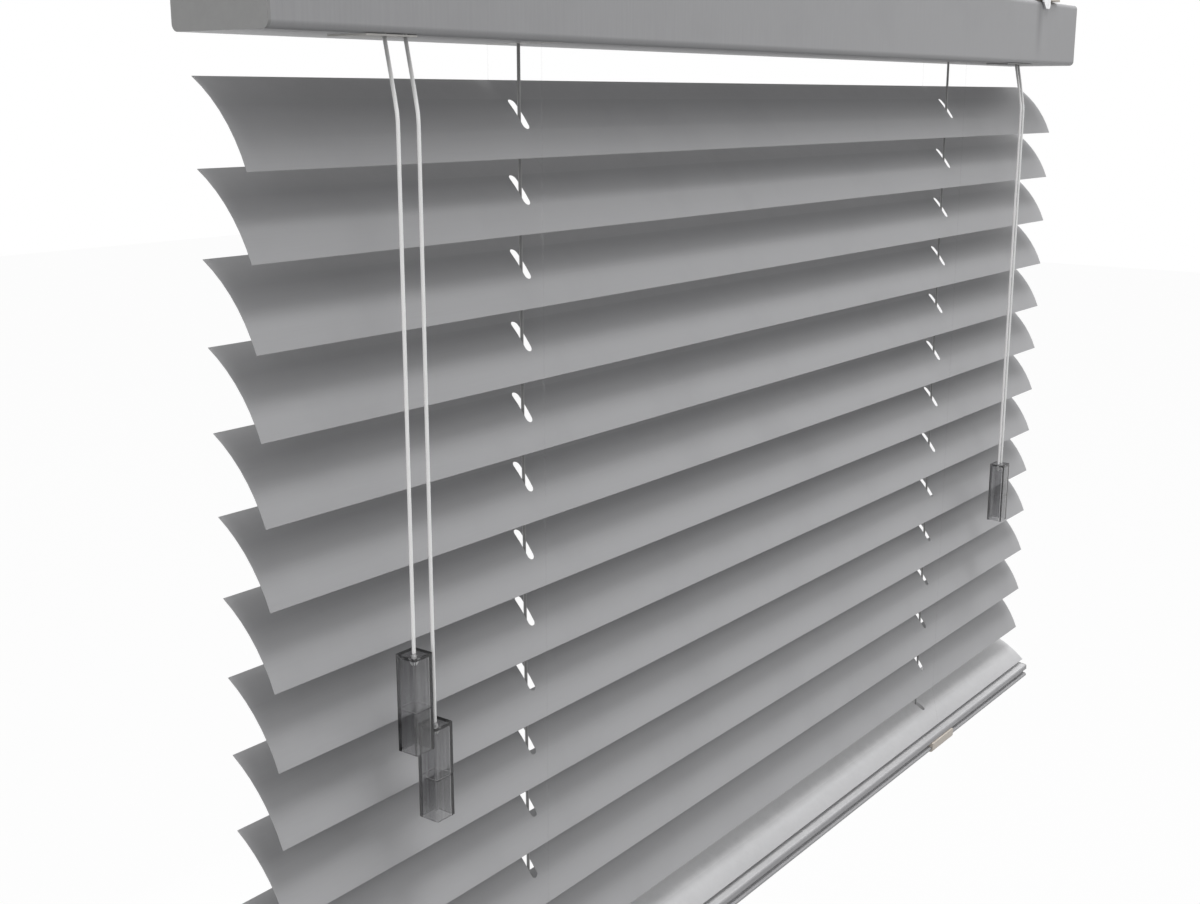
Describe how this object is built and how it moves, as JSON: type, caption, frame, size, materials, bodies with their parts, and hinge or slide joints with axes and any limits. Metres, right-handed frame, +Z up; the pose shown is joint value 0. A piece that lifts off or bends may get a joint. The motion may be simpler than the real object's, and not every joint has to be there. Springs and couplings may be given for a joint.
{
  "type": "venetian blind",
  "caption": "Aluminium venetian blind: crowned slats on string ladders between a head rail and a bottom rail, tilted and raised by cords with square tassels.",
  "frame": {"origin": "middle of the four fixing holes, on the brackets' top face that meets the ceiling or lintel", "axes": "+X along the blind to its right as seen from the room, -Y towards the room, +Z up"},
  "size_m": [0.9, 0.0706, 0.6166],
  "materials": {
    "slat_aluminium": "satin lacquer with a faint grain along the slat",
    "rail_aluminium": "satin lacquer",
    "cap_grey": "satin moulding in the rail's grey",
    "bracket_steel": "zinc plated pressing",
    "rod_steel": "bright drawn bar",
    "cream_plastic": "cream moulding",
    "pale_plastic": "pale grey moulding",
    "cord_white": "white braid",
    "cord_grey": "grey braid",
    "ladder_string": "clear filament",
    "tassel_smoke": "clear smoky moulding"
  },
  "bodies": {
    "root": {"head_rail": "rail_aluminium", "head_cap_left": "cap_grey", "head_cap_right": "cap_grey", "bracket_left": "bracket_steel", "bracket_right": "bracket_steel", "drum_cradle_left": "pale_plastic", "drum_cradle_right": "pale_plastic", "tilter_housing": "pale_plastic", "tilter_plate": "pale_plastic", "cord_lock": "bracket_steel", "cord_lock_plate": "cap_grey", "ladder_left": "ladder_string", "ladder_right": "ladder_string", "lift_cord_left": "cord_grey", "lift_cord_right": "cord_grey", "tilt_cord_left": "cord_white", "tilt_cord_right": "cord_white", "lift_tail_left": "cord_white", "lift_tail_right": "cord_white"},
    "tilt_shaft": {"tilt_rod": "rod_steel", "ladder_drum_left": "pale_plastic", "ladder_drum_right": "pale_plastic", "tilter_gear": "cream_plastic"},
    "worm": {"tilter_worm": "cream_plastic"},
    "lock_roller": {"cord_lock_roller": "rod_steel"},
    "latch_left": {"latch_left": "cream_plastic"},
    "latch_right": {"latch_right": "cream_plastic"},
    "tilt_tassel_left": {"tilt_tassel_left": "tassel_smoke"},
    "tilt_tassel_right": {"tilt_tassel_right": "tassel_smoke"},
    "lift_tassel": {"lift_tassel": "tassel_smoke"},
    "bottom_rail": {"bottom_rail": "rail_aluminium", "rail_cap_left": "cap_grey", "rail_cap_right": "cap_grey", "ladder_clips": "cream_plastic"},
    "rungs_2": {"rungs_2": "ladder_string"},
    "rungs_3": {"rungs_3": "ladder_string"},
    "rungs_4": {"rungs_4": "ladder_string"},
    "rungs_5": {"rungs_5": "ladder_string"},
    "rungs_6": {"rungs_6": "ladder_string"},
    "rungs_7": {"rungs_7": "ladder_string"},
    "rungs_8": {"rungs_8": "ladder_string"},
    "rungs_9": {"rungs_9": "ladder_string"},
    "rungs_10": {"rungs_10": "ladder_string"},
    "rungs_11": {"rungs_11": "ladder_string"},
    "rungs_12": {"rungs_12": "ladder_string"},
    "rungs_13": {"rungs_13": "ladder_string"},
    "slat_1": {"slat_1": "slat_aluminium"},
    "slat_2": {"slat_2": "slat_aluminium"},
    "slat_3": {"slat_3": "slat_aluminium"},
    "slat_4": {"slat_4": "slat_aluminium"},
    "slat_5": {"slat_5": "slat_aluminium"},
    "slat_6": {"slat_6": "slat_aluminium"},
    "slat_7": {"slat_7": "slat_aluminium"},
    "slat_8": {"slat_8": "slat_aluminium"},
    "slat_9": {"slat_9": "slat_aluminium"},
    "slat_10": {"slat_10": "slat_aluminium"},
    "slat_11": {"slat_11": "slat_aluminium"},
    "slat_12": {"slat_12": "slat_aluminium"},
    "slat_13": {"slat_13": "slat_aluminium"},
    "slat_14": {"slat_14": "slat_aluminium"}
  },
  "joints": [
    {"name": "tilt", "type": "hinge", "parent": "root", "child": "tilt_shaft", "pos_m": [0, 0, -0.024], "axis": [1, 0, 0], "range_deg": [-231.2, 28.8], "deforming": ["ladder_left", "ladder_right"]},
    {"name": "lift", "type": "slide", "parent": "root", "child": "bottom_rail", "axis": [0, 0, 1], "range_m": [0, 0.415], "deforming": ["lift_cord_left", "lift_cord_right"]},
    {"name": "latch_left_turn", "type": "hinge", "parent": "root", "child": "latch_left", "pos_m": [-0.3935, 0, -0.002], "axis": [0, 0, -1], "range_deg": [0, 90]},
    {"name": "latch_right_turn", "type": "hinge", "parent": "root", "child": "latch_right", "pos_m": [0.3935, 0, -0.002], "axis": [0, 0, 1], "range_deg": [0, 90]},
    {"name": "worm_turn", "type": "hinge", "parent": "root", "child": "worm", "pos_m": [-0.375, 0, -0.0385], "axis": [0, 1, 0], "range_deg": [-1854.6, 235.4]},
    {"name": "roller_turn", "type": "hinge", "parent": "root", "child": "lock_roller", "pos_m": [0.334, -0.0202, -0.046], "axis": [1, 0, 0], "range_deg": [0, 4110]},
    {"name": "tilt_pull_left", "type": "slide", "parent": "root", "child": "tilt_tassel_left", "axis": [0, 0, 1], "range_m": [-0.2105, 0.0265], "deforming": ["tilt_cord_left"]},
    {"name": "tilt_pull_right", "type": "slide", "parent": "root", "child": "tilt_tassel_right", "axis": [0, 0, 1], "range_m": [-0.0265, 0.2105], "deforming": ["tilt_cord_right"]},
    {"name": "lift_pull", "type": "slide", "parent": "root", "child": "lift_tassel", "axis": [0, 0, -1], "range_m": [0, 0.415], "deforming": ["lift_tail_left", "lift_tail_right"]},
    {"name": "rungs_2_lift", "type": "slide", "parent": "root", "child": "rungs_2", "axis": [0, 0, 1], "range_m": [0, 0.0337]},
    {"name": "rungs_3_lift", "type": "slide", "parent": "root", "child": "rungs_3", "axis": [0, 0, 1], "range_m": [0, 0.0669]},
    {"name": "rungs_4_lift", "type": "slide", "parent": "root", "child": "rungs_4", "axis": [0, 0, 1], "range_m": [0, 0.1001]},
    {"name": "rungs_5_lift", "type": "slide", "parent": "root", "child": "rungs_5", "axis": [0, 0, 1], "range_m": [0, 0.1333]},
    {"name": "rungs_6_lift", "type": "slide", "parent": "root", "child": "rungs_6", "axis": [0, 0, 1], "range_m": [0, 0.1665]},
    {"name": "rungs_7_lift", "type": "slide", "parent": "root", "child": "rungs_7", "axis": [0, 0, 1], "range_m": [0, 0.1997]},
    {"name": "rungs_8_lift", "type": "slide", "parent": "root", "child": "rungs_8", "axis": [0, 0, 1], "range_m": [0, 0.2329]},
    {"name": "rungs_9_lift", "type": "slide", "parent": "root", "child": "rungs_9", "axis": [0, 0, 1], "range_m": [0, 0.2661]},
    {"name": "rungs_10_lift", "type": "slide", "parent": "root", "child": "rungs_10", "axis": [0, 0, 1], "range_m": [0, 0.2993]},
    {"name": "rungs_11_lift", "type": "slide", "parent": "root", "child": "rungs_11", "axis": [0, 0, 1], "range_m": [0, 0.3325]},
    {"name": "rungs_12_lift", "type": "slide", "parent": "root", "child": "rungs_12", "axis": [0, 0, 1], "range_m": [0, 0.3657]},
    {"name": "rungs_13_lift", "type": "slide", "parent": "root", "child": "rungs_13", "axis": [0, 0, 1], "range_m": [0, 0.3989]},
    {"name": "slat_1_tilt", "type": "hinge", "parent": "root", "child": "slat_1", "pos_m": [0, 0, -0.0886], "axis": [1, 0, 0], "range_deg": [-116, 14.8]},
    {"name": "slat_2_tilt", "type": "hinge", "parent": "rungs_2", "child": "slat_2", "pos_m": [0, 0, -0.1268], "axis": [1, 0, 0], "range_deg": [-116, 14.8], "deforming": ["rungs_2"]},
    {"name": "slat_3_tilt", "type": "hinge", "parent": "rungs_3", "child": "slat_3", "pos_m": [0, 0, -0.165], "axis": [1, 0, 0], "range_deg": [-116, 14.8], "deforming": ["rungs_3"]},
    {"name": "slat_4_tilt", "type": "hinge", "parent": "rungs_4", "child": "slat_4", "pos_m": [0, 0, -0.2032], "axis": [1, 0, 0], "range_deg": [-116, 14.8], "deforming": ["rungs_4"]},
    {"name": "slat_5_tilt", "type": "hinge", "parent": "rungs_5", "child": "slat_5", "pos_m": [0, 0, -0.2414], "axis": [1, 0, 0], "range_deg": [-116, 14.8], "deforming": ["rungs_5"]},
    {"name": "slat_6_tilt", "type": "hinge", "parent": "rungs_6", "child": "slat_6", "pos_m": [0, 0, -0.2796], "axis": [1, 0, 0], "range_deg": [-116, 14.8], "deforming": ["rungs_6"]},
    {"name": "slat_7_tilt", "type": "hinge", "parent": "rungs_7", "child": "slat_7", "pos_m": [0, 0, -0.3178], "axis": [1, 0, 0], "range_deg": [-116, 14.8], "deforming": ["rungs_7"]},
    {"name": "slat_8_tilt", "type": "hinge", "parent": "rungs_8", "child": "slat_8", "pos_m": [0, 0, -0.356], "axis": [1, 0, 0], "range_deg": [-116, 14.8], "deforming": ["rungs_8"]},
    {"name": "slat_9_tilt", "type": "hinge", "parent": "rungs_9", "child": "slat_9", "pos_m": [0, 0, -0.3942], "axis": [1, 0, 0], "range_deg": [-116, 14.8], "deforming": ["rungs_9"]},
    {"name": "slat_10_tilt", "type": "hinge", "parent": "rungs_10", "child": "slat_10", "pos_m": [0, 0, -0.4324], "axis": [1, 0, 0], "range_deg": [-116, 14.8], "deforming": ["rungs_10"]},
    {"name": "slat_11_tilt", "type": "hinge", "parent": "rungs_11", "child": "slat_11", "pos_m": [0, 0, -0.4706], "axis": [1, 0, 0], "range_deg": [-116, 14.8], "deforming": ["rungs_11"]},
    {"name": "slat_12_tilt", "type": "hinge", "parent": "rungs_12", "child": "slat_12", "pos_m": [0, 0, -0.5088], "axis": [1, 0, 0], "range_deg": [-116, 14.8], "deforming": ["rungs_12"]},
    {"name": "slat_13_tilt", "type": "hinge", "parent": "rungs_13", "child": "slat_13", "pos_m": [0, 0, -0.547], "axis": [1, 0, 0], "range_deg": [-116, 14.8], "deforming": ["rungs_13"]},
    {"name": "slat_14_tilt", "type": "hinge", "parent": "bottom_rail", "child": "slat_14", "pos_m": [0, 0, -0.5852], "axis": [1, 0, 0], "range_deg": [-55.89, 7.31]}
  ],
  "couplings": [
    {"joint": "worm_turn", "follows": "tilt", "ratio": 8},
    {"joint": "tilt_pull_left", "follows": "tilt", "m_per_rad": 0.052},
    {"joint": "tilt_pull_right", "follows": "tilt", "m_per_rad": -0.052},
    {"joint": "lift_pull", "follows": "lift", "ratio": 1},
    {"joint": "roller_turn", "follows": "lift", "rad_per_m": 172.41},
    {"joint": "rungs_2_lift", "follows": "lift", "ratio": 0.08},
    {"joint": "rungs_3_lift", "follows": "lift", "ratio": 0.16},
    {"joint": "rungs_4_lift", "follows": "lift", "ratio": 0.24},
    {"joint": "rungs_5_lift", "follows": "lift", "ratio": 0.32},
    {"joint": "rungs_6_lift", "follows": "lift", "ratio": 0.4},
    {"joint": "rungs_7_lift", "follows": "lift", "ratio": 0.48},
    {"joint": "rungs_8_lift", "follows": "lift", "ratio": 0.56},
    {"joint": "rungs_9_lift", "follows": "lift", "ratio": 0.64},
    {"joint": "rungs_10_lift", "follows": "lift", "ratio": 0.72},
    {"joint": "rungs_11_lift", "follows": "lift", "ratio": 0.8},
    {"joint": "rungs_12_lift", "follows": "lift", "ratio": 0.88},
    {"joint": "rungs_13_lift", "follows": "lift", "ratio": 0.96},
    {"joint": "slat_1_tilt", "follows": "tilt", "ratio": 0.5},
    {"joint": "slat_2_tilt", "follows": "tilt", "ratio": 0.5},
    {"joint": "slat_3_tilt", "follows": "tilt", "ratio": 0.5},
    {"joint": "slat_4_tilt", "follows": "tilt", "ratio": 0.5},
    {"joint": "slat_5_tilt", "follows": "tilt", "ratio": 0.5},
    {"joint": "slat_6_tilt", "follows": "tilt", "ratio": 0.5},
    {"joint": "slat_7_tilt", "follows": "tilt", "ratio": 0.5},
    {"joint": "slat_8_tilt", "follows": "tilt", "ratio": 0.5},
    {"joint": "slat_9_tilt", "follows": "tilt", "ratio": 0.5},
    {"joint": "slat_10_tilt", "follows": "tilt", "ratio": 0.5},
    {"joint": "slat_11_tilt", "follows": "tilt", "ratio": 0.5},
    {"joint": "slat_12_tilt", "follows": "tilt", "ratio": 0.5},
    {"joint": "slat_13_tilt", "follows": "tilt", "ratio": 0.5},
    {"joint": "slat_14_tilt", "follows": "tilt", "ratio": 0.24}
  ]
}
